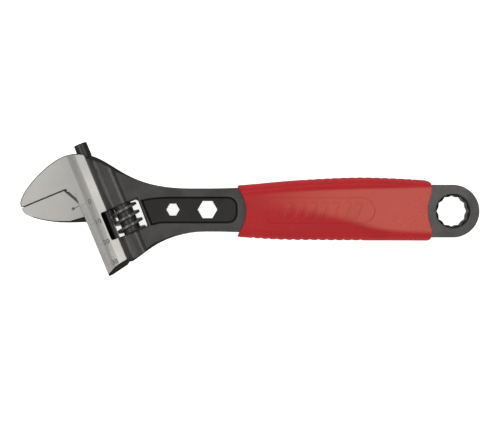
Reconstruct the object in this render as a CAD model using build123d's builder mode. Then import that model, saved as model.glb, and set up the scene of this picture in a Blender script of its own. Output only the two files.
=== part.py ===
"""Adjustable wrench of the 200 mm class: one STEP file per separate piece.

Frame: the origin is the centre of the ring end's socket, on the mid-plane of the
steel. +X runs along the handle from the jaws to the ring, +Y points to the back of
the fixed jaw, and +Z is square to the flat faces. Millimetres and degrees.

The head has its own axes: "across" runs from the jaw tips towards the handle, and
"along" runs in the direction in which the movable jaw closes. Both start at the
shoulder line that the movable jaw slides on.
"""

import os
from math import cos, pi, radians, sin, sqrt

from build123d import *

os.makedirs("parts", exist_ok=True)

# ---------------------------------------------------------------- driving dimensions

HEAD_TILT = 22.5  # lean of the slide direction from square to the handle
HEAD_ORIGIN = (-172.4, 3.3)  # where across = 0 and along = 0
HEAD_HALF = 6.5  # half thickness of the jaws and the slide strip
HANDLE_HALF = 3.75  # half thickness of the neck, handle and ring
PANEL_HALF = 2.3  # half thickness of the recessed panel in the neck
PANEL_LEFT = 26.4  # across, start of the recessed panel
PANEL_WALL = 0.9  # width of the recess's sloping walls
VALLEY_HALF = 2.8  # half thickness of the hollow between head and neck

JAW_REACH = 25.3  # from the shoulder line to the jaw tips
FIXED_FACE = 8.8  # along, face of the fixed jaw
REST_GAP = 0.6  # jaw opening in the modelled pose
SHOULDER_GAP = 0.08  # running clearance of the jaw's shoulder
EDGE_BREAK = 0.45  # chamfer of the fixed jaw's outer edges
JAW_RIM_LENGTH = 34.0  # of the curved outer edge that is broken, to within 2

BAR_ACROSS = 10.0  # axis of the round rack bar
BAR_RADIUS = 3.1
BAR_TOP = 25.9
BAR_BOTTOM = -22.3
BORE_RADIUS = 3.18
WEB_HALF = 1.5
SLOT_HALF = 1.58
SLOT_TOP = 1.2

WORM_ACROSS = 17.2  # axis of the worm and its pin
WORM_TIP_RADIUS = 6.5
WORM_CORE_RADIUS = 4.15
WORM_TOP = -7.75
WORM_BOTTOM = -21.15
THREAD_LEAD = 3.9
THREAD_TURNS = 8  # swept, before the ends are trimmed
THREAD_TIP_WIDTH = 1.15
THREAD_BASE_WIDTH = 1.9
CREST_ALONG = -18.95  # a crest centre on the side that faces the rack

RACK_ROOT = 10.2
RACK_TIP = 12.8
RACK_GAPS = 9
RACK_TOP = 19.2  # along, upper end of the trimmed side; allows 26.6 of travel
RACK_FLANK_GAP = 0.2  # running clearance between thread and tooth flanks
LOW_TOOTH_TIP = 11.9

WINDOW_LEFT = 7.3
WINDOW_RIGHT = 24.9
WINDOW_TOP = -7.6
WINDOW_BOTTOM = -21.25

PIN_RADIUS = 1.5
PIN_THREAD_RADIUS = 1.9
PIN_TOP = -3.6
PIN_BOTTOM = -31.4
PIN_SLOT_WIDTH = 0.7
PIN_SLOT_DEPTH = 0.9
WORM_BORE_RADIUS = 1.56
SPRING_POCKET_RADIUS = 2.9
SPRING_POCKET_DEPTH = 2.6
SPRING_WIRE_RADIUS = 0.25
SPRING_RADIUS = 2.3
SPRING_TURNS = 3

RING_RADIUS = 12.2
RING_SOCKET = 13.0  # across flats
HEX_LARGE = 8.0
HEX_LARGE_X = -113.7
HEX_SMALL = 5.5
HEX_SMALL_X = -129.8
HEX_Y = 0.7

GRIP_LEFT = -100.4
GRIP_RIGHT = -10.0
GRIP_HALF = 6.5
GRIP_ROUND = 3.6

# ---------------------------------------------------------------- head axes

ACROSS = Vector(cos(radians(HEAD_TILT)), sin(radians(HEAD_TILT)), 0)
ALONG = Vector(-sin(radians(HEAD_TILT)), cos(radians(HEAD_TILT)), 0)
HEAD = Plane(origin=(*HEAD_ORIGIN, 0), x_dir=ACROSS, z_dir=(0, 0, 1))
LONG = 400.0  # longer than the wrench, for cuts that run right through


def head(across, along, height=0.0):
    """Point of the wrench's frame, from the head's own axes."""
    return HEAD.from_local_coords(Vector(across, along, height))


def square_to_slide(along, across=0.0):
    """Plane square to the slide, with x across and y up."""
    return Plane(origin=head(across, along), x_dir=ACROSS, z_dir=-ALONG)


def save_piece(name, piece):
    """Labels a finished piece, writes its STEP file and reports its volume."""
    piece.label = name
    export_step(piece, f"parts/{name}.step")
    print(name, round(piece.volume, 1), piece.is_valid, len(piece.solids()))


# ---------------------------------------------------------------- wrench body

with BuildSketch(Plane.XY) as body_outline:
    with BuildLine():
        FilletPolyline(
            head(-JAW_REACH, FIXED_FACE),
            head(-3.1, FIXED_FACE),
            head(0, 3.7),
            head(0, -36.1),
            radius=[1.2, 5.0],
        )
        lower_head = Spline(
            head(0, -36.1),
            head(13, -33.5),
            head(23.7, -31.0),
            (-133.2, -13.4),
            (-123.5, -10.4),
            (-112, -9.5),
            tangents=[ACROSS + ALONG * 0.22, (1, 0)],
        )
        Spline((-112, -9.5), (-60, -11.8), (-9, -RING_RADIUS), tangents=[(1, 0), (1, 0)])
        Line((-9, -RING_RADIUS), (0, -RING_RADIUS))
        ThreePointArc((0, -RING_RADIUS), (RING_RADIUS, 0), (0, RING_RADIUS))
        Line((0, RING_RADIUS), (-9, RING_RADIUS))
        Spline((-9, RING_RADIUS), (-60, 12.6), (-114, 10.5), tangents=[(-1, 0), (-1, 0)])
        upper_head = Spline(
            (-114, 10.5),
            (-130.2, 10.9),
            (-148.9, 15.7),
            head(21.7, 8.4),
            head(13.9, 18.1),
            head(7.6, 21.9),
            head(1.6, 23.0),
            head(-8.4, 21.1),
            head(-16.5, 17.6),
            head(-22.5, 13.6),
            head(-24.8, 11.1),
            head(-JAW_REACH, FIXED_FACE),
            tangents=[(-1, 0), -ALONG],
        )
    make_face()

with BuildSketch(square_to_slide(100)) as thickness_section:
    with BuildLine() as upper_profile:
        Line((-40, 0), (-40, HEAD_HALF))
        Line((-40, HEAD_HALF), (3.0, HEAD_HALF))
        Spline((3.0, HEAD_HALF), (6.6, 5.95), tangents=[(1, 0), (1, -0.32)])
        Line((6.6, 5.95), (10.5, 4.7))
        Spline(
            (10.5, 4.7),
            (13.4, 3.3),
            (16.4, VALLEY_HALF),
            (19.3, VALLEY_HALF + 0.2),
            (20.8, HANDLE_HALF),
            tangents=[(1, -0.4), (1, 0.3)],
        )
        Line((20.8, HANDLE_HALF), (220, HANDLE_HALF))
        Line((220, HANDLE_HALF), (220, 0))
        Line((220, 0), (-40, 0))
    make_face()
    mirror(about=Plane.XZ)


def bevel_cutter(sections):
    """Wedge that bevels an outer edge of the head, from (across, along, height, side) rows.

    Each row is a point on the bevel; the bevel leans at 45 degrees, outwards and down
    on the side that "side" gives (-1 for the lower edge, +1 for the upper edge).
    """
    wedge_size = 6.0
    with BuildPart() as cutter:
        for across, along, height, side in sections:
            plane = Plane(origin=head(across, along, height), x_dir=ALONG * side, z_dir=ACROSS)
            rise = wedge_size * side  # the plane's own y points up only on the upper edge
            with BuildSketch(plane):
                with BuildLine():
                    Polyline(
                        (-wedge_size, rise),
                        (wedge_size, -rise),
                        (wedge_size, rise),
                        close=True,
                    )
                make_face()
        loft(ruled=True)
    return cutter.part


lower_bevel = bevel_cutter(
    [
        (-1.0, -35.6, HEAD_HALF, -1),
        (10.0, -31.8, 4.9, -1),
        (25.0, -29.7, HANDLE_HALF, -1),
        (34.0, -29.9, HANDLE_HALF, -1),
    ]
)
upper_bevel = bevel_cutter(
    [
        (10.6, 18.2, 4.7, 1),
        (19.0, 9.9, 3.1, 1),
        (26.0, 2.4, HANDLE_HALF, 1),
        (34.0, -4.3, HANDLE_HALF, 1),
    ]
)


def panel_outline(height, inset):
    """Outline of the recessed panel at a height, moved in from the mouth by inset."""
    top_left = head(PANEL_LEFT + inset, -9.0 - inset)
    bottom_left = head(PANEL_LEFT + inset, -21.8 + inset)
    top = 6.7 - inset
    right = -99.6 - inset
    bottom = -5.7 + inset
    with BuildSketch(Plane.XY.offset(height)) as outline:
        with BuildLine():
            Spline(top_left, (-134, top - 0.1), (-126, top), tangents=[(1, 0.25), (1, 0)])
            FilletPolyline(
                (-126, top), (right, top), (right, bottom), (-134, bottom), radius=4.6 - inset
            )
            Spline((-134, bottom), bottom_left, tangents=[(-1, 0), (-1, -0.15)])
            Line(bottom_left, top_left)
        make_face()
    return outline.sketch.faces()[0]


with BuildPart() as panel_cut:
    floor = panel_outline(PANEL_HALF, PANEL_WALL)
    mouth = panel_outline(HANDLE_HALF, 0.0)
    loft([floor, mouth], ruled=True)
panel_recess = panel_cut.part

with BuildPart() as wrench_body:
    extrude(body_outline.sketch, amount=HEAD_HALF, both=True)
    extrude(thickness_section.sketch, amount=LONG, both=True, mode=Mode.INTERSECT)
    # bevels along the lower and upper edges of the head
    add(lower_bevel, mode=Mode.SUBTRACT)
    add(lower_bevel.mirror(Plane.XY), mode=Mode.SUBTRACT)
    add(upper_bevel, mode=Mode.SUBTRACT)
    add(upper_bevel.mirror(Plane.XY), mode=Mode.SUBTRACT)
    # broken outer edges of the fixed jaw, known by their height and length
    jaw_rim = [
        edge
        for edge in wrench_body.edges()
        if abs(abs(edge.center().Z) - HEAD_HALF) < 0.01 and abs(edge.length - JAW_RIM_LENGTH) < 2
    ]
    chamfer(jaw_rim, EDGE_BREAK)
    # recessed panel on both faces of the neck
    add(panel_recess, mode=Mode.SUBTRACT)
    add(panel_recess.mirror(Plane.XY), mode=Mode.SUBTRACT)

    # round bore for the rack bar, and the channel for the web
    with BuildSketch(square_to_slide(0)):
        with Locations((BAR_ACROSS, 0)):
            Circle(BORE_RADIUS)
    extrude(amount=LONG, both=True, mode=Mode.SUBTRACT)
    with BuildSketch(square_to_slide(SLOT_TOP)):
        with Locations((BAR_ACROSS / 2 - 1, 0)):
            Rectangle(BAR_ACROSS + 2, 2 * SLOT_HALF)
    extrude(amount=60, mode=Mode.SUBTRACT)
    # window for the worm
    with BuildSketch(HEAD) as window_outline:
        with BuildLine():
            FilletPolyline(
                (WINDOW_LEFT, WINDOW_TOP),
                (WINDOW_RIGHT - 0.8, WINDOW_TOP),
                (WINDOW_RIGHT + 0.4, WINDOW_TOP - 1.3),
                (WINDOW_RIGHT, WINDOW_BOTTOM),
                (WINDOW_LEFT, WINDOW_BOTTOM),
                radius=[0.8, 0.4, 0.8, 0.8, 0.8],
                close=True,
            )
        make_face()
    extrude(amount=HEAD_HALF, both=True, mode=Mode.SUBTRACT)
    # ring socket, two hexagons turned by 30 degrees, with a bevelled mouth
    with BuildSketch(Plane.XY) as ring_socket:
        RegularPolygon(RING_SOCKET / sqrt(3), 6)
        RegularPolygon(RING_SOCKET / sqrt(3), 6, rotation=30)
    extrude(amount=HEAD_HALF, both=True, mode=Mode.SUBTRACT)
    with Locations(Plane.XY.offset(HANDLE_HALF - 0.5), -Plane.XY.offset(-HANDLE_HALF + 0.5)):
        Cone(RING_SOCKET / 2 + 0.3, RING_SOCKET / 2 + 1.8, 1.5, mode=Mode.SUBTRACT)
    # hexagon holes in the panel
    with BuildSketch(Plane.XY):
        with Locations((HEX_LARGE_X, HEX_Y)):
            RegularPolygon(HEX_LARGE / sqrt(3), 6)
        with Locations((HEX_SMALL_X, HEX_Y)):
            RegularPolygon(HEX_SMALL / sqrt(3), 6)
    extrude(amount=HEAD_HALF, both=True, mode=Mode.SUBTRACT)
    # threaded hole and blind hole for the pin
    with BuildSketch(square_to_slide(WINDOW_BOTTOM + 1)):
        with Locations((WORM_ACROSS, 0)):
            Circle(PIN_THREAD_RADIUS)
    extrude(amount=LONG / 4, mode=Mode.SUBTRACT)
    with BuildSketch(square_to_slide(PIN_TOP)):
        with Locations((WORM_ACROSS, 0)):
            Circle(PIN_RADIUS)
    extrude(amount=10, mode=Mode.SUBTRACT)

save_piece("wrench_body", wrench_body.part)

# ---------------------------------------------------------------- movable jaw

jaw_face = FIXED_FACE - REST_GAP
with BuildSketch(HEAD) as jaw_outline:
    with BuildLine():
        Polyline((-JAW_REACH, jaw_face), (-4.2, jaw_face), (-SHOULDER_GAP, 0), (-SHOULDER_GAP, -9.0))
        Spline(
            (-SHOULDER_GAP, -9.0),
            (-6.4, -6.6),
            (-12.5, -3.9),
            (-18.5, -0.3),
            (-22.6, 2.9),
            (-24.7, 5.4),
            (-JAW_REACH, jaw_face),
            tangents=[(-1, 0.38), (0, 1)],
        )
    make_face()

jaw_bevel = bevel_cutter(
    [
        (-22.5, 3.1, 6.5, -1),
        (-18.5, 0.1, 6.5, -1),
        (-13.0, -3.2, 6.5, -1),
        (-7.0, -5.6, 6.5, -1),
        (0.5, -6.4, 6.5, -1),
    ]
)


def tooth_gap(along):
    """Outline of the gap between two rack teeth, centred at the given height."""
    tip_gap = THREAD_TIP_WIDTH + 2 * RACK_FLANK_GAP
    flank = (THREAD_BASE_WIDTH - THREAD_TIP_WIDTH) / (WORM_TIP_RADIUS - WORM_CORE_RADIUS)
    root = WORM_ACROSS - WORM_TIP_RADIUS - RACK_ROOT
    past_tip = BAR_ACROSS + BAR_RADIUS + 1 - RACK_ROOT
    root_half = (tip_gap - flank * root) / 2
    mouth_half = (tip_gap + flank * (past_tip - root)) / 2
    return Polyline(
        (RACK_ROOT, along - root_half),
        (RACK_ROOT + past_tip, along - mouth_half),
        (RACK_ROOT + past_tip, along + mouth_half),
        (RACK_ROOT, along + root_half),
        close=True,
    )


pitch_radius = WORM_ACROSS - (RACK_ROOT + RACK_TIP) / 2
tooth_lean = THREAD_LEAD / (2 * pi * pitch_radius)
gap_depth = 2 * (BAR_RADIUS + 1)
lowest_gap = CREST_ALONG + THREAD_LEAD

with BuildPart() as movable_jaw:
    extrude(jaw_outline.sketch, amount=HEAD_HALF, both=True)
    add(jaw_bevel, mode=Mode.SUBTRACT)
    add(jaw_bevel.mirror(Plane.XY), mode=Mode.SUBTRACT)
    with BuildSketch(HEAD):
        with BuildLine():
            Polyline((-1, 0), (-1, -9), (BAR_ACROSS, -9), (BAR_ACROSS, 0), close=True)
        make_face()
    extrude(amount=WEB_HALF, both=True)
    with BuildSketch(square_to_slide(BAR_TOP)):
        with Locations((BAR_ACROSS, 0)):
            Circle(BAR_RADIUS)
    extrude(amount=BAR_TOP - BAR_BOTTOM)
    # rack: teeth that lean with the thread, trimmed to clear the worm's core
    with BuildSketch(HEAD.offset(-gap_depth / 2)):
        for number in range(RACK_GAPS):
            drop = tooth_lean * gap_depth / 2
            with BuildLine():
                tooth_gap(lowest_gap + number * THREAD_LEAD - drop)
            make_face()
    lean = Vector(0, 0, 1) + ALONG * tooth_lean
    extrude(amount=gap_depth * lean.length, dir=lean, mode=Mode.SUBTRACT)
    with BuildSketch(HEAD):
        with BuildLine():
            Polyline(
                (RACK_ROOT, BAR_BOTTOM - 1),
                (RACK_ROOT, lowest_gap),
                (LOW_TOOTH_TIP, lowest_gap),
                (LOW_TOOTH_TIP, lowest_gap + THREAD_LEAD),
                (RACK_TIP, lowest_gap + THREAD_LEAD),
                (RACK_TIP, RACK_TOP),
                (RACK_TIP + 2, RACK_TOP),
                (RACK_TIP + 2, BAR_BOTTOM - 1),
                close=True,
            )
        make_face()
    extrude(amount=gap_depth, both=True, mode=Mode.SUBTRACT)

save_piece("movable_jaw", movable_jaw.part)

# ---------------------------------------------------------------- worm

# Modelled on its own axis, with local z along the slide, then placed.
worm_length = WORM_TOP - WORM_BOTTOM
thread_start = -2 * THREAD_LEAD
thread_height = THREAD_TURNS * THREAD_LEAD
WORM_AXIS = Plane(origin=head(WORM_ACROSS, WORM_BOTTOM), x_dir=-ACROSS, z_dir=ALONG)

with BuildPart() as thread:
    with BuildLine() as thread_path:
        Helix(THREAD_LEAD, thread_height, WORM_CORE_RADIUS, center=(0, 0, thread_start))
    with BuildSketch(Plane.XZ) as thread_section:
        with BuildLine():
            Polyline(
                (WORM_CORE_RADIUS - 0.4, thread_start - THREAD_BASE_WIDTH / 2),
                (WORM_CORE_RADIUS, thread_start - THREAD_BASE_WIDTH / 2),
                (WORM_TIP_RADIUS, thread_start - THREAD_TIP_WIDTH / 2),
                (WORM_TIP_RADIUS, thread_start + THREAD_TIP_WIDTH / 2),
                (WORM_CORE_RADIUS, thread_start + THREAD_BASE_WIDTH / 2),
                (WORM_CORE_RADIUS - 0.4, thread_start + THREAD_BASE_WIDTH / 2),
                close=True,
            )
        make_face()
    sweep(thread_section.sketch, path=thread_path.line, is_frenet=True)

crest_turn = (CREST_ALONG - WORM_BOTTOM) / THREAD_LEAD * 360
standing = (Align.CENTER, Align.CENTER, Align.MIN)

with BuildPart() as worm:
    add(thread.part.rotate(Axis.Z, -crest_turn))
    Cylinder(WORM_TIP_RADIUS + 1, worm_length, align=standing, mode=Mode.INTERSECT)
    Cylinder(WORM_CORE_RADIUS, worm_length, align=standing)
    Cylinder(WORM_BORE_RADIUS, worm_length, align=standing, mode=Mode.SUBTRACT)
    with BuildSketch(Plane.XY.offset(worm_length)):
        Circle(SPRING_POCKET_RADIUS)
    extrude(amount=-SPRING_POCKET_DEPTH, mode=Mode.SUBTRACT)

save_piece("worm", WORM_AXIS.location * worm.part)

# ---------------------------------------------------------------- worm pin and spring

with BuildPart() as worm_pin:
    with BuildSketch(square_to_slide(PIN_TOP)):
        with Locations((WORM_ACROSS, 0)):
            Circle(PIN_RADIUS)
    extrude(amount=PIN_TOP - WINDOW_BOTTOM)
    with BuildSketch(square_to_slide(WINDOW_BOTTOM)):
        with Locations((WORM_ACROSS, 0)):
            Circle(PIN_THREAD_RADIUS)
    extrude(amount=WINDOW_BOTTOM - PIN_BOTTOM)
    with BuildSketch(square_to_slide(PIN_BOTTOM)):
        with Locations((WORM_ACROSS, 0)):
            Rectangle(2 * PIN_THREAD_RADIUS, PIN_SLOT_WIDTH, rotation=20)
    extrude(amount=-PIN_SLOT_DEPTH, mode=Mode.SUBTRACT)

save_piece("worm_pin", worm_pin.part)

spring_floor = WORM_TOP - SPRING_POCKET_DEPTH + SPRING_WIRE_RADIUS + 0.05
spring_height = WINDOW_TOP - SPRING_WIRE_RADIUS - spring_floor
spring_base = head(WORM_ACROSS, spring_floor)
with BuildPart() as worm_spring:
    with BuildLine() as coil:
        Helix(
            spring_height / SPRING_TURNS,
            spring_height,
            SPRING_RADIUS,
            center=spring_base,
            direction=ALONG,
        )
    with BuildSketch(Plane(origin=coil.line @ 0, z_dir=coil.line % 0)):
        Circle(SPRING_WIRE_RADIUS)
    sweep(path=coil.line, is_frenet=True)

save_piece("worm_spring", worm_spring.part)

# ---------------------------------------------------------------- grip

with BuildSketch(Plane.XY) as grip_outline:
    with BuildLine():
        ThreePointArc((GRIP_LEFT, 12.1), (GRIP_LEFT + 4.6, 0.2), (GRIP_LEFT, -12.1))
        Spline(
            (GRIP_LEFT, -12.1),
            (-80, -13.4),
            (-60, -13.6),
            (GRIP_RIGHT - 3, -13.8),
            tangents=[(1, -0.08), (1, 0)],
        )
        Polyline((GRIP_RIGHT - 3, -13.8), (GRIP_RIGHT, -11.6), (GRIP_RIGHT - 1, -6))
        ThreePointArc((GRIP_RIGHT - 1, -6), (GRIP_RIGHT - 1.4, 0), (GRIP_RIGHT - 1, 6.5))
        Polyline((GRIP_RIGHT - 1, 6.5), (GRIP_RIGHT, 12.2), (GRIP_RIGHT - 3, 14.2))
        Spline(
            (GRIP_RIGHT - 3, 14.2),
            (-28, 15.4),
            (-45, 15.8),
            (-65, 15.0),
            (GRIP_LEFT, 12.1),
            tangents=[(-1, 0.08), (-1, -0.08)],
        )
    make_face()

with BuildPart() as grip:
    extrude(grip_outline.sketch, amount=GRIP_HALF, both=True)
    rims = grip.faces().sort_by(Axis.Z)
    fillet(rims[0].edges() + rims[-1].edges(), GRIP_ROUND)
    extrude(body_outline.sketch, amount=HANDLE_HALF, both=True, mode=Mode.SUBTRACT)

save_piece("grip", grip.part)
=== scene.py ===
import math

import bpy
import numpy as np
from mathutils import Matrix, Vector


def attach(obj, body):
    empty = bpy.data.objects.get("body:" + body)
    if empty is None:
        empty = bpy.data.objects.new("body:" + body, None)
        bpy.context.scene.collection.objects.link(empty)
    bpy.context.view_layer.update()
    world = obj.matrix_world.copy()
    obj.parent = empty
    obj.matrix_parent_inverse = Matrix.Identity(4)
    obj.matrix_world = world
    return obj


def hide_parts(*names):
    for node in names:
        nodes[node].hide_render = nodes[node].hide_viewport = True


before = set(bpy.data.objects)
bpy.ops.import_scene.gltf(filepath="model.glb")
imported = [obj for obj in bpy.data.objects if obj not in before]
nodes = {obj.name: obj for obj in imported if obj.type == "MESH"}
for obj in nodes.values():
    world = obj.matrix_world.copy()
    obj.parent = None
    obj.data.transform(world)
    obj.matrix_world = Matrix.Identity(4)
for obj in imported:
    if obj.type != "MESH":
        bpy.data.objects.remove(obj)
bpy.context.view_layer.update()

# Looks of the adjustable wrench. Lengths are in metres unless a name ends in _MM.
MM = 0.001


# ------------------------------------------------------------------ head axes

HEAD_TILT = math.radians(22.5)  # lean of the slide direction from square to the handle
HEAD_ORIGIN = Vector((-172.4, 3.3, 0.0)) * MM
ACROSS = Vector((math.cos(HEAD_TILT), math.sin(HEAD_TILT), 0.0))
ALONG = Vector((-math.sin(HEAD_TILT), math.cos(HEAD_TILT), 0.0))
FACE_MM = 6.5  # half thickness of the head
WORM_ACROSS_MM = 17.2


def head(across_mm, along_mm, height_mm=0.0):
    """Point of the frame from the head's own axes, given in millimetres."""
    return HEAD_ORIGIN + (ACROSS * across_mm + ALONG * along_mm + Vector((0, 0, height_mm))) * MM


# ------------------------------------------------------------------ node graph helper


class Graph:
    """A material's node tree, with short calls for the nodes that the looks need."""

    def __init__(self, name):
        self.material = bpy.data.materials.new(name)
        self.material.use_nodes = True
        self.tree = self.material.node_tree
        self.shader = self.tree.nodes["Principled BSDF"]
        self.place = self.node("ShaderNodeTexCoord").outputs["Object"]

    def node(self, kind):
        return self.tree.nodes.new(kind)

    def feed(self, socket, value):
        """Links a socket, or sets a plain number, colour or vector."""
        if isinstance(value, bpy.types.NodeSocket):
            self.tree.links.new(value, socket)
        else:
            socket.default_value = value

    def set(self, **values):
        """Sets the shader's own inputs; an underscore stands for a space."""
        for name, value in values.items():
            self.feed(self.shader.inputs[name.replace("_", " ")], value)

    def math(self, operation, first, second=0.0, third=0.0):
        n = self.node("ShaderNodeMath")
        n.operation = operation
        self.feed(n.inputs[0], first)
        self.feed(n.inputs[1], second)
        self.feed(n.inputs[2], third)
        return n.outputs[0]

    def size_of(self, value):
        """The value without its sign."""
        return self.math("ABSOLUTE", value)

    def greatest(self, *values):
        result = values[0]
        for value in values[1:]:
            result = self.math("MAXIMUM", result, value)
        return result

    def ramp(self, value, start, end, low=0.0, high=1.0):
        """Smooth step from low at start to high at end."""
        n = self.node("ShaderNodeMapRange")
        n.interpolation_type = "SMOOTHSTEP"
        for socket, given in zip(n.inputs[:5], (value, start, end, low, high)):
            self.feed(socket, given)
        return n.outputs[0]

    def times(self, *values):
        result = values[0]
        for value in values[1:]:
            result = self.math("MULTIPLY", result, value)
        return result

    def mix(self, share, first, second):
        """Colour mix."""
        n = self.node("ShaderNodeMix")
        n.data_type = "RGBA"
        self.feed(n.inputs["Factor"], share)
        self.feed(n.inputs["A"], first)
        self.feed(n.inputs["B"], second)
        return n.outputs["Result"]

    def blend(self, share, first, second):
        """Number mix."""
        return self.math("MULTIPLY_ADD", share, self.math("SUBTRACT", second, first), first)

    def noise(self, scale, detail=3.0, stretch=(1, 1, 1), turn=0.0):
        """Noise over the object, stretched along axes turned about z."""
        turned = self.node("ShaderNodeMapping")
        turned.vector_type = "POINT"
        self.feed(turned.inputs["Vector"], self.place)
        turned.inputs["Rotation"].default_value = (0, 0, turn)
        scaled = self.node("ShaderNodeVectorMath")
        scaled.operation = "MULTIPLY"
        self.feed(scaled.inputs[0], turned.outputs[0])
        scaled.inputs[1].default_value = stretch
        n = self.node("ShaderNodeTexNoise")
        self.feed(n.inputs["Vector"], scaled.outputs[0])
        n.inputs["Scale"].default_value = scale
        n.inputs["Detail"].default_value = detail
        n.inputs["Roughness"].default_value = 0.55
        return n.outputs["Fac"]

    def head_axes(self):
        """Across, along and height in millimetres, on the head's axes."""
        n = self.node("ShaderNodeMapping")
        n.vector_type = "TEXTURE"
        self.feed(n.inputs["Vector"], self.place)
        n.inputs["Location"].default_value = HEAD_ORIGIN
        n.inputs["Rotation"].default_value = (0, 0, HEAD_TILT)
        n.inputs["Scale"].default_value = (MM, MM, MM)
        return self.parts(n.outputs[0])

    def parts(self, vector):
        """The three numbers of a vector."""
        n = self.node("ShaderNodeSeparateXYZ")
        self.feed(n.inputs[0], vector)
        return n.outputs[0], n.outputs[1], n.outputs[2]

    def head_facing(self):
        """The surface's own direction, on the head's axes."""
        n = self.node("ShaderNodeMapping")
        n.vector_type = "POINT"
        self.feed(n.inputs["Vector"], self.node("ShaderNodeNewGeometry").outputs["True Normal"])
        n.inputs["Rotation"].default_value = (0, 0, -HEAD_TILT)
        return self.parts(n.outputs[0])

    def relief(self, height, depth, edge_radius=0.0):
        """Bump of the given depth, on edges rounded by edge_radius."""
        n = self.node("ShaderNodeBump")
        n.inputs["Distance"].default_value = depth
        n.inputs["Strength"].default_value = 1.0
        self.feed(n.inputs["Height"], height)
        if edge_radius:
            rounding = self.node("ShaderNodeBevel")
            rounding.inputs["Radius"].default_value = edge_radius
            rounding.samples = 4
            self.feed(n.inputs["Normal"], rounding.outputs[0])
        self.feed(self.shader.inputs["Normal"], n.outputs[0])


def grey(level, warmth=0.03):
    """A slightly warm grey."""
    return (level * (1 + warmth), level, level * (1 - 1.6 * warmth), 1.0)


# ------------------------------------------------------------------ steel

BLACK = grey(0.08)
BLACK_WORN = grey(0.105)
# darkest black, used only for painted shade
BLACK_PAINTED_SHADE = grey(0.025)
STEEL = grey(0.50)
STEEL_DULL = grey(0.455)
BLACK_METALLIC = 0.75
RECESS_MM = 2.6  # height under which the recess gets painted shade
RECESS_SHADE = 0.75  # how much painted shade, as the darkest black, goes on each of these places
SLANT_SHADE = 0.85
HOLLOW_SHADE = 0.55
RIM_SHADE = 0.9
WINDOW_MIDDLE_MM = (16.2, -14.4)  # across and along, on the head's axes
WINDOW_HALF_MM = (9.0, 6.85)
BORDER_ACROSS_MM = 10.2  # where the ground face ends on the slope
BORDER_MIDDLE_MM = -12.0  # along, where that border bows least
BORDER_BOW = 0.001
BROKEN_EDGE_SHARE = 0.5  # how bright the fixed jaw's chamfer is ground


def painted_shade_share(graph):
    """Share of painted shade on the black coat: darker in the recess, on slanted faces, in the
    hollow of the slope and round the window's rim.
    """
    across, along, height = graph.head_axes()
    _, _, up = graph.head_facing()
    upright = graph.size_of(up)
    # painted shade in the recess, under RECESS_MM
    recess = graph.ramp(graph.size_of(height), RECESS_MM - 0.2, RECESS_MM, RECESS_SHADE, 0.0)
    # painted shade on faces slanted away from upright
    slanted = graph.times(
        graph.ramp(upright, 0.60, 0.985, SLANT_SHADE, 0.0),
        graph.ramp(upright, 0.1, 0.5),
    )
    # painted shade in the hollow of the head's slope
    hollow = graph.times(
        graph.ramp(across, 12.5, 16.5, HOLLOW_SHADE, 0.0),
        graph.ramp(across, 9.0, 10.0),
    )
    # painted shade round the rim of the window
    past_window = []
    for value, middle, half in zip((across, along), WINDOW_MIDDLE_MM, WINDOW_HALF_MM):
        away = graph.size_of(graph.math("SUBTRACT", value, middle))
        past_window.append(graph.math("SUBTRACT", away, half))
    rim = graph.ramp(graph.greatest(*past_window), 0.25, 0.75, RIM_SHADE, 0.0)
    return graph.greatest(recess, slanted, rim, hollow)


def black_coat(graph):
    """Colour, roughness and relief of the blackened forging, with painted shade laid on its
    recess, slanted faces, hollow and window rim.
    """
    cloud = graph.noise(90.0, 4.0)
    grain = graph.noise(2600.0, 3.0)
    rubbed = graph.mix(graph.ramp(cloud, 0.35, 0.7), BLACK, BLACK_WORN)
    # painted shade: the coat is darkened towards the darkest black where the shade share says
    colour = graph.mix(painted_shade_share(graph), rubbed, BLACK_PAINTED_SHADE)
    roughness = graph.blend(cloud, 0.20, 0.30)
    return colour, roughness, grain


def ground_steel(graph):
    """Colour, roughness and relief of the ground bright steel."""
    cloud = graph.noise(70.0, 4.0)
    lines = graph.noise(900.0, 3.0, stretch=(1.0, 0.06, 1.0), turn=-HEAD_TILT)
    grain = graph.noise(3200.0, 2.0)
    texture = graph.math("MULTIPLY_ADD", lines, 0.5, graph.math("MULTIPLY", grain, 0.5))
    colour = graph.mix(graph.ramp(graph.blend(0.4, cloud, texture), 0.3, 0.7), STEEL, STEEL_DULL)
    roughness = graph.blend(cloud, 0.27, 0.33)
    return colour, roughness, texture


def two_finishes(name, ground):
    """Blackened forging whose faces are ground bright where ground(graph) is 1."""
    graph = Graph(name)
    share = ground(graph)
    dark, dark_rough, dark_grain = black_coat(graph)
    bright, bright_rough, bright_grain = ground_steel(graph)
    graph.set(
        Base_Color=graph.mix(share, dark, bright),
        Metallic=graph.blend(share, BLACK_METALLIC, 1.0),
        Roughness=graph.blend(share, dark_rough, bright_rough),
    )
    grain = graph.blend(share, dark_grain, bright_grain)
    graph.relief(grain, 0.007 * MM, edge_radius=0.3 * MM)
    return graph.material


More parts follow.
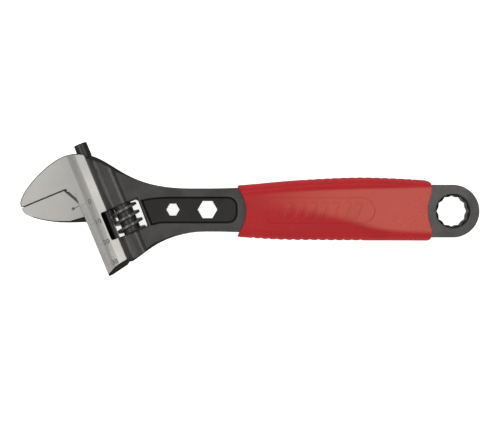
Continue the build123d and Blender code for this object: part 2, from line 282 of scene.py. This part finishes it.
def body_ground(graph):
    """The body's bright part: jaw face and slide strip, down to a line along the slope."""
    across, along, height = graph.head_axes()
    _, lean, up = graph.head_facing()
    from_middle = graph.size_of(graph.math("SUBTRACT", along, BORDER_MIDDLE_MM))
    bow = graph.math("POWER", from_middle, 2.0)
    border = graph.math("MULTIPLY_ADD", bow, BORDER_BOW, BORDER_ACROSS_MM)
    ragged = graph.math("MULTIPLY_ADD", graph.noise(500.0, 3.0), 0.5, -0.25)
    inside = graph.math("SUBTRACT", graph.math("ADD", border, ragged), across)
    upright = graph.size_of(up)
    face = graph.times(
        graph.ramp(inside, -0.12, 0.12),
        graph.ramp(upright, 0.86, 0.92),
        graph.ramp(graph.size_of(lean), 0.16, 0.3, 1.0, 0.0),
        graph.ramp(graph.size_of(height), 4.7, 4.9),
    )
    broken_edge = graph.times(
        graph.ramp(upright, 0.60, 0.68, 0.0, BROKEN_EDGE_SHARE),
        graph.ramp(across, 9.0, 10.0, 1.0, 0.0),
        graph.ramp(along, 5.0, 6.0),
    )
    return graph.greatest(face, broken_edge)


def jaw_ground(graph):
    """The movable jaw's bright part: its two flat faces."""
    across, _, height = graph.head_axes()
    _, _, up = graph.head_facing()
    return graph.times(
        graph.ramp(graph.size_of(up), 0.95, 0.99),
        graph.ramp(graph.size_of(height), 6.2, 6.4),
        graph.ramp(across, 0.5, 1.0, 1.0, 0.0),
    )


def worm_steel():
    """Blackened worm whose thread crests are rubbed brighter."""
    graph = Graph("worm_steel")
    across, _, height = graph.head_axes()
    offset = graph.math("SUBTRACT", across, WORM_ACROSS_MM)
    squares = graph.math(
        "ADD",
        graph.math("POWER", graph.size_of(offset), 2.0),
        graph.math("POWER", graph.size_of(height), 2.0),
    )
    crest = graph.ramp(graph.math("SQRT", squares), 6.0, 6.45)
    # black_coat lays its painted shade on the worm as well
    dark, roughness, grain = black_coat(graph)
    rubbed = graph.math("MULTIPLY", crest, 0.6)
    graph.set(
        Base_Color=graph.mix(rubbed, dark, grey(0.2)),
        Metallic=rubbed,
        Roughness=graph.math("SUBTRACT", roughness, 0.06),
    )
    graph.relief(grain, 0.01 * MM, edge_radius=0.12 * MM)
    return graph.material


def plain_steel(name, level, roughness):
    """Small steel parts: pin and spring."""
    graph = Graph(name)
    cloud = graph.noise(400.0, 3.0)
    graph.set(
        Base_Color=graph.mix(cloud, grey(level), grey(level * 0.7)),
        Roughness=graph.blend(cloud, roughness, roughness + 0.1),
        Metallic=1.0,
    )
    graph.relief(graph.noise(3000.0), 0.006 * MM, edge_radius=0.1 * MM)
    return graph.material


def paint(obj, material):
    """Gives a piece this one material."""
    obj.data.materials.clear()
    obj.data.materials.append(material)


paint(nodes["wrench_body"], two_finishes("body_steel", body_ground))
paint(nodes["movable_jaw"], two_finishes("jaw_steel", jaw_ground))
paint(nodes["worm"], worm_steel())
paint(nodes["worm_pin"], plain_steel("pin_steel", 0.22, 0.3))
paint(nodes["worm_spring"], plain_steel("spring_steel", 0.45, 0.25))

# ------------------------------------------------------------------ scale and index mark

MARK_RISE_MM = 0.03  # the etched marks stand this far out, so that they are seen
MARK_SINK_MM = 0.05  # and reach this far into the steel
TICK_STEP_MM = 1.0
TICK_WIDTH_MM = 0.16
TICK_START_MM = 0.35  # across
TENS_END_MM = 3.2  # across
FIVES_END_MM = 2.6
ONES_END_MM = 1.8
SCALE_START_MM = -0.9  # along, the zero of the scale
SCALE_LENGTH = 30
FIGURE_ACROSS_MM = 4.9
FIGURE_SIZE_MM = 3.08
FIGURE_BOLD_MM = 0.07
DOT_MM = (-3.4, -1.0)  # across and along, centre of the index dot
DOT_RADIUS_MM = 0.75
INDEX_END_MM = (-0.25, -0.9)
INDEX_WIDTH_MM = 0.42


def mark_finish():
    """Dull dark grey of the etched marks."""
    graph = Graph("etched_mark")
    cloud = graph.noise(1200.0, 3.0)
    graph.set(
        Base_Color=graph.mix(cloud, grey(0.16), grey(0.26)),
        Roughness=graph.blend(cloud, 0.5, 0.7),
        Metallic=0.5,
    )
    graph.relief(graph.noise(4000.0), 0.005 * MM)
    return graph.material


def mesh_object(name, points, faces, material, smooth=False):
    """A mesh object in the scene, with one material."""
    mesh = bpy.data.meshes.new(name)
    mesh.from_pydata([tuple(p) for p in points], [], faces)
    mesh.materials.append(material)
    mesh.validate()
    obj = bpy.data.objects.new(name, mesh)
    bpy.context.scene.collection.objects.link(obj)
    if smooth:
        mesh.shade_smooth()
    return obj


def slab(outline, low_mm, high_mm):
    """Points and faces of a thin plate from an outline in head millimetres."""
    count = len(outline)
    points = [head(w, t, z) for z in (low_mm, high_mm) for w, t in outline]
    faces = [tuple(range(count))[::-1], tuple(range(count, 2 * count))]
    for i in range(count):
        j = (i + 1) % count
        faces.append((i, j, count + j, count + i))
    return points, faces


def marks(name, outlines, body):
    """One object of thin plates on the head's upper face."""
    points = []
    faces = []
    for outline in outlines:
        new_points, new_faces = slab(outline, FACE_MM - MARK_SINK_MM, FACE_MM + MARK_RISE_MM)
        faces += [tuple(index + len(points) for index in face) for face in new_faces]
        points += new_points
    obj = mesh_object(name, points, faces, etched)
    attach(obj, body)
    return obj


def stroke(start, end, width):
    """Outline of a straight line of the given width, between two head points."""
    a = Vector(start)
    b = Vector(end)
    side = (b - a).normalized().orthogonal() * (width / 2)
    return [tuple(a - side), tuple(b - side), tuple(b + side), tuple(a + side)][::-1]


etched = mark_finish()
ticks = []
for number in range(SCALE_LENGTH + 1):
    along = SCALE_START_MM - number * TICK_STEP_MM
    if number % 10 == 0:
        reach = TENS_END_MM
    elif number % 5 == 0:
        reach = FIVES_END_MM
    else:
        reach = ONES_END_MM
    ticks.append(stroke((TICK_START_MM, along), (reach, along), TICK_WIDTH_MM))
marks("scale_ticks", ticks, "root")

dot = [
    (DOT_MM[0] + DOT_RADIUS_MM * math.cos(angle), DOT_MM[1] + DOT_RADIUS_MM * math.sin(angle))
    for angle in np.linspace(0, 2 * math.pi, 24, False)
]
marks("index_mark", [dot, stroke(DOT_MM, INDEX_END_MM, INDEX_WIDTH_MM)], "jaw")


def figure(text, along_mm):
    """A scale figure as a thin raised mesh on the slide strip."""
    curve = bpy.data.curves.new("figure_" + text, "FONT")
    curve.body = text
    curve.size = FIGURE_SIZE_MM * MM
    curve.align_x = "CENTER"
    curve.align_y = "CENTER"
    curve.extrude = (MARK_RISE_MM + MARK_SINK_MM) * MM / 2
    curve.resolution_u = 4
    curve.offset = FIGURE_BOLD_MM * MM
    writer = bpy.data.objects.new("writer_" + text, curve)
    bpy.context.scene.collection.objects.link(writer)
    place = head(FIGURE_ACROSS_MM, along_mm, FACE_MM + (MARK_RISE_MM - MARK_SINK_MM) / 2)
    writer.matrix_world = Matrix.Translation(place) @ Matrix.Rotation(HEAD_TILT, 4, "Z")
    bpy.context.view_layer.update()
    graph_now = bpy.context.evaluated_depsgraph_get()
    mesh = bpy.data.meshes.new_from_object(writer.evaluated_get(graph_now))
    mesh.transform(writer.matrix_world)
    bpy.data.objects.remove(writer)
    mesh.materials.clear()
    mesh.materials.append(etched)
    obj = bpy.data.objects.new("scale_figure_" + text, mesh)
    bpy.context.scene.collection.objects.link(obj)
    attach(obj, "root")


for tens in range(4):
    figure(str(tens * 10), SCALE_START_MM - tens * 10)

# ------------------------------------------------------------------ grip

GRIP_LEFT = -100.4  # millimetres, as the rest of this section
GRIP_RIGHT = -10.0
LEFT_HOLLOW = 4.6  # how far the left end curves in at its middle
RIGHT_HOLLOW = 1.9
LEFT_HALF_WIDTH = 12.1
LEFT_CORNER = (12.2, 1.5)  # outer edge and radius of the corners of each end
RIGHT_CORNER = (14.2, 2.1)
# (x, y) rows: outline of the grip, and borders of the flat facet on its crown
GRIP_TOP = (
    (-100.4, 12.1),
    (-89.2, 12.95),
    (-79.9, 13.8),
    (-61.3, 15.1),
    (-42.6, 15.75),
    (-24.0, 15.2),
    (-11.5, 14.5),
    (-8.5, 14.3),
)
GRIP_BOTTOM = (
    (-100.4, -12.1),
    (-89.2, -12.9),
    (-79.9, -13.35),
    (-61.3, -13.6),
    (-24.0, -13.75),
    (-8.5, -13.8),
)
FLAT_TOP = ((-100.4, 7.0), (-65.0, 8.8), (-8.5, 10.6))
FLAT_BOTTOM = ((-100.4, 4.5), (-70.0, 3.0), (-48.0, -2.5), (-37.0, -6.5), (-8.5, -9.5))
GRIP_FLAT = 6.3  # height of the flat facet
GRIP_DROP = 1.25  # fall of the crown from the flat to the sides
EDGE_ROUND = 4.0
RIM_ROUND = 0.7
RIB_PITCH = 3.9
RIB_COUNT = 14
RIB_REACH = 1.5
TOP_RIBS = (-68.0, 0.16)  # x of the first groove, and depth
BOTTOM_RIBS = (-93.2, 0.32)
PANEL = (-87.8, -36.6, -5.5, 6.1)  # left, right, bottom, top of the raised panel
PANEL_CORNER = 3.0  # radius at its left end; the right end is a half circle
PANEL_RISE = 0.32
PANEL_EDGE = 0.25
BAR_RISE = 0.2
BAR_FIRST = -76.0
BAR_PITCH = 5.2
BAR_COUNT = 7
BAR_LEAN = 0.35
BAR_MIDDLE = 0.3
STEP_X = 0.3
ROUND_STEPS = 22
FLAT_STEPS = 104
END_STEPS = 7


def curve_through(table, x):
    """Smooth line through (x, y) rows: cubics whose slopes come from the rows around."""
    xs = np.array([row[0] for row in table])
    ys = np.array([row[1] for row in table])
    slopes = np.gradient(ys, xs)
    i = np.clip(np.searchsorted(xs, x) - 1, 0, len(xs) - 2)
    span = xs[i + 1] - xs[i]
    t = (np.clip(x, xs[0], xs[-1]) - xs[i]) / span
    return ((1 + 2 * t) * (1 - t) ** 2 * ys[i] + t * (1 - t) ** 2 * span * slopes[i]
            + t * t * (3 - 2 * t) * ys[i + 1] + t * t * (t - 1) * span * slopes[i + 1])


def smooth(value, start, end):
    """Smooth step from 0 at start to 1 at end."""
    t = np.clip((value - start) / (end - start), 0, 1)
    return t * t * (3 - 2 * t)


def grooves(x, first, depth):
    """Depth of a row of grooves across an edge of the grip."""
    phase = (x - first) / RIB_PITCH
    away = np.abs(phase - np.round(phase)) * RIB_PITCH
    within = (phase > -0.5) & (phase < RIB_COUNT - 0.5)
    return np.where(within, depth * (1 - smooth(away, 0.0, RIB_REACH)), 0.0)


def panel_distance(x, y):
    """Distance outside the raised panel's outline, negative inside."""
    left, right, low, high = PANEL
    half = (high - low) / 2
    middle = (high + low) / 2
    corner = np.where(x > (left + right) / 2, half, PANEL_CORNER)
    dx = np.abs(x - (left + right) / 2) - ((right - left) / 2 - corner)
    dy = np.abs(y - middle) - (half - corner)
    outside = np.hypot(np.maximum(dx, 0), np.maximum(dy, 0))
    return outside + np.minimum(np.maximum(dx, dy), 0) - corner


def bars(x, y):
    """How much of a plain slanted bar stands at a place on the panel, from 0 to 1."""
    slanted = x - y * BAR_LEAN
    phase = (slanted - BAR_FIRST) / BAR_PITCH
    away = np.abs(phase - np.round(phase)) * BAR_PITCH
    within = (phase > -0.5) & (phase < BAR_COUNT - 0.5)
    cut = smooth(np.abs(y - BAR_MIDDLE), 3.2, 3.7)
    return np.where(within, (1 - smooth(away, 1.2, 1.6)) * (1 - cut), 0.0)


def corner_cut(y, edge, radius):
    """How far a round corner of the outline pulls the end in."""
    past = np.clip(np.abs(y) - (edge - radius), 0, radius)
    return radius - np.sqrt(radius ** 2 - past ** 2)


def end_left(y):
    """x of the left end at a y."""
    hollow = LEFT_HOLLOW * (1 - (y / LEFT_HALF_WIDTH) ** 2)
    return GRIP_LEFT + hollow + corner_cut(y, *LEFT_CORNER)


def end_right(y):
    """x of the right end at a y."""
    hollow = RIGHT_HOLLOW * (1 - smooth(np.abs(y), 1.0, 10.5))
    return GRIP_RIGHT - hollow - corner_cut(y, *RIGHT_CORNER)


def ring_of_section(count_round, count_flat):
    """Side (+1 top, -1 bottom), rounding angle, place on the flat and z sign, point by point."""
    rows = []
    for angle in np.linspace(0, math.pi / 2, count_round, False):
        rows.append((1, angle, 0.0))
    for share in np.linspace(0, 1, count_flat):
        rows.append((0, math.pi / 2, share))
    for angle in np.linspace(math.pi / 2, 0, count_round + 1)[1:]:
        rows.append((-1, angle, 1.0))
    upper = [row + (1,) for row in rows]
    lower = [row + (-1,) for row in rows[1:-1][::-1]]
    return upper + lower


def grip_stations():
    """x of the rows of points, closer together where the two end rims are rounded."""
    even = np.append(np.arange(GRIP_LEFT, GRIP_RIGHT, STEP_X), GRIP_RIGHT)
    between = even[(even > GRIP_LEFT + RIM_ROUND) & (even < GRIP_RIGHT - RIM_ROUND)]
    rim = RIM_ROUND * (1 - np.cos(np.linspace(0, math.pi / 2, END_STEPS)))
    return np.unique(np.concatenate([between, GRIP_LEFT + rim, GRIP_RIGHT - rim]))


def grip_surface():
    """Points of the grip as rows of x, y and z, and each point's share of the painted sheen on
    the flat facet.
    """
    ring = ring_of_section(ROUND_STEPS, FLAT_STEPS)
    side, angle, share, sign = (np.array(column)[None, :] for column in zip(*ring))
    x = np.repeat(grip_stations()[:, None], len(ring), axis=1)
    # rounding of the two end rims
    to_end = np.minimum(x - GRIP_LEFT, GRIP_RIGHT - x)
    inset = RIM_ROUND * (1 - np.sqrt(1 - (1 - np.clip(to_end / RIM_ROUND, 0, 1)) ** 2))
    top = curve_through(GRIP_TOP, x) - inset
    bottom = curve_through(GRIP_BOTTOM, x) + inset
    reach = EDGE_ROUND * (1 - np.cos(angle))
    on_flat = (top - EDGE_ROUND) * (1 - share) + (bottom + EDGE_ROUND) * share
    y = np.where(side == 1, top - reach, np.where(side == -1, bottom + reach, on_flat))
    # crown: flat in the middle, falling to both sides
    flat_top = curve_through(FLAT_TOP, x)
    flat_bottom = curve_through(FLAT_BOTTOM, x)
    above = np.maximum(y - flat_top, 0) / (top - flat_top)
    below = np.maximum(flat_bottom - y, 0) / (flat_bottom - bottom)
    fall = above ** 1.25 * 1.35 + below ** 1.15
    crown = GRIP_FLAT - inset - GRIP_DROP * fall
    raised = PANEL_RISE * (1 - smooth(panel_distance(x, y), -PANEL_EDGE, PANEL_EDGE))
    raised = raised + BAR_RISE * bars(x, y)
    z = (crown + raised) * np.sin(angle)
    # ribs on the two edges
    edge_share = 1 - smooth(z, 2.5, 5.2)
    y = y - np.where(side == 1, grooves(x, *TOP_RIBS), 0.0) * edge_share
    y = y + np.where(side == -1, grooves(x, *BOTTOM_RIBS), 0.0) * edge_share
    # the ends curve in
    shift_left = (end_left(y) - GRIP_LEFT) * (1 - smooth(x, GRIP_LEFT, GRIP_LEFT + 22))
    shift_right = (end_right(y) - GRIP_RIGHT) * smooth(x, GRIP_RIGHT - 14, GRIP_RIGHT)
    x = x + shift_left + shift_right
    # painted sheen: share of paler red on the flat facet, fading out towards the left end
    sheen_share = (1 - smooth(above, 0.0, 0.2)) * (1 - smooth(below, 0.0, 0.35)) * smooth(x, -100, -52)
    return x, y, z * sign, sheen_share


def grip_mesh():
    """Points and faces of the grip, and each point's share of the painted sheen."""
    x, y, z, sheen_share = grip_surface()
    rows, around = x.shape
    points = [Vector(p) * MM for p in np.stack([x, y, z], -1).reshape(-1, 3)]
    faces = []
    for i in range(rows - 1):
        for j in range(around):
            k = (j + 1) % around
            here = i * around
            after = here + around
            faces.append((here + j, here + k, after + k, after + j))
    # end walls, closed inside the handle; their points get no painted sheen
    sheen_share = list(sheen_share.reshape(-1)) + [0.0] * (2 * around)
    half = around // 2
    for row, end in ((0, end_left), (rows - 1, end_right)):
        start = len(points)
        for j in range(around):
            inner_y = y[row, j] * 0.72
            points.append(Vector((float(end(inner_y)), inner_y, z[row, j] * 0.25)) * MM)
        walls = []
        for j in range(around):
            k = (j + 1) % around
            walls.append((row * around + k, row * around + j, start + j, start + k))
        walls.append((start, start + around - 1, start + 1))
        for j in range(1, half - 1):
            walls.append((start + j, start + around - j, start + around - j - 1, start + j + 1))
        walls.append((start + half - 1, start + around - half + 1, start + half))
        faces += [wall[::-1] for wall in walls] if row else walls
    return points, faces, sheen_share


RED = (0.50, 0.012, 0.016, 1)
RED_DULL = (0.44, 0.010, 0.014, 1)
RED_PAINTED_SHEEN = (0.60, 0.115, 0.075, 1)  # painted sheen: the flat facet is painted paler red


def grip_material():
    """Satin red plastic, with a painted sheen of paler red where the vertex attribute says flat
    facet.
    """
    graph = Graph("red_grip")
    cloud = graph.noise(60.0, 3.0)
    speck = graph.noise(1500.0, 3.0)
    tone = graph.blend(0.3, cloud, speck)
    red = graph.mix(graph.ramp(tone, 0.35, 0.65), RED, RED_DULL)
    sheen_attribute = graph.node("ShaderNodeAttribute")
    sheen_attribute.attribute_name = "painted_sheen_share"
    # painted sheen: speckled share of paler red on the flat facet
    share = graph.math("MULTIPLY", sheen_attribute.outputs["Fac"], graph.blend(speck, 0.45, 0.75))
    graph.set(
        Base_Color=graph.mix(share, red, RED_PAINTED_SHEEN),
        Roughness=graph.blend(tone, 0.24, 0.32),
        Specular_IOR_Level=0.3,
    )
    graph.relief(speck, 0.018 * MM)
    return graph.material


grip_points, grip_faces, grip_sheen = grip_mesh()
grip = mesh_object("grip_cover", grip_points, grip_faces, grip_material(), smooth=True)
# each point's share of painted sheen, read by the grip's material
grip.data.attributes.new("painted_sheen_share", "FLOAT", "POINT").data.foreach_set("value", grip_sheen)
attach(grip, "root")
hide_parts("grip")

# ------------------------------------------------------------------ floor, lights and camera

FLOOR = -FACE_MM * MM
OBJECT_MIDDLE = Vector((-0.0939, 0.00028, 0.0))
CAMERA_RISE = 0.45


def floor():
    """A plain pale floor that glows a little and that the steel doesn't mirror."""
    graph = Graph("pale_floor")
    graph.set(
        Base_Color=(0.92, 0.92, 0.92, 1),
        Roughness=0.9,
        Specular_IOR_Level=0.0,
        Emission_Color=(1, 1, 1, 1),
        Emission_Strength=0.8,
    )
    size = 3.0
    signs = ((-1, -1), (1, -1), (1, 1), (-1, 1))
    corners = [(size * right, size * up, FLOOR) for right, up in signs]
    plane = mesh_object("floor", corners, [(0, 1, 2, 3)], graph.material)
    plane.visible_glossy = False


def panel_light(name, centre, width, depth, radiance, glossy=True):
    """A soft box that faces the object, with its width along x, as bright as radiance says."""
    lamp = bpy.data.lights.new(name, "AREA")
    lamp.shape = "RECTANGLE"
    lamp.size = width
    lamp.size_y = depth
    lamp.energy = radiance * math.pi * width * depth
    obj = bpy.data.objects.new(name, lamp)
    obj.location = centre
    back = (Vector(centre) - OBJECT_MIDDLE).normalized()
    along_x = (Vector((1, 0, 0)) - back * back.x).normalized()
    obj.rotation_euler = Matrix((along_x, back.cross(along_x), back)).transposed().to_euler()
    obj.visible_glossy = glossy
    bpy.context.scene.collection.objects.link(obj)


floor()
panel_light("facet_box", (0.10, 0.0, 1.0), 0.11, 0.10, 5.0)
panel_light("slope_box", (0.37, 0.28, 1.0), 0.22, 0.40, 2.7)
panel_light("left_box", (-0.60, 0.06, 1.0), 0.46, 0.9, 1.3)
panel_light("gap_box", (-0.08, 0.0, 1.05), 0.4, 0.6, 0.18)
panel_light("back_strip", (-0.1, 1.25, 0.85), 1.4, 0.4, 1.2)
panel_light("front_strip", (-0.1, -1.25, 0.85), 1.4, 0.4, 0.8)
panel_light("fill", (-0.1, 0.0, 1.3), 2.4, 2.4, 0.7, glossy=False)

world = bpy.data.worlds.new("studio")
world.use_nodes = True
background = world.node_tree.nodes["Background"]
background.inputs["Color"].default_value = (1, 1, 1, 1)
background.inputs["Strength"].default_value = 0.28
bpy.context.scene.world = world

camera = bpy.data.cameras.new("camera")
camera.lens = 69.5
camera.sensor_width = 36.0
camera_object = bpy.data.objects.new("camera", camera)
camera_object.location = OBJECT_MIDDLE + Vector((0, 0, CAMERA_RISE))
bpy.context.scene.collection.objects.link(camera_object)
bpy.context.scene.camera = camera_object
bpy.context.scene.view_settings.view_transform = "Standard"
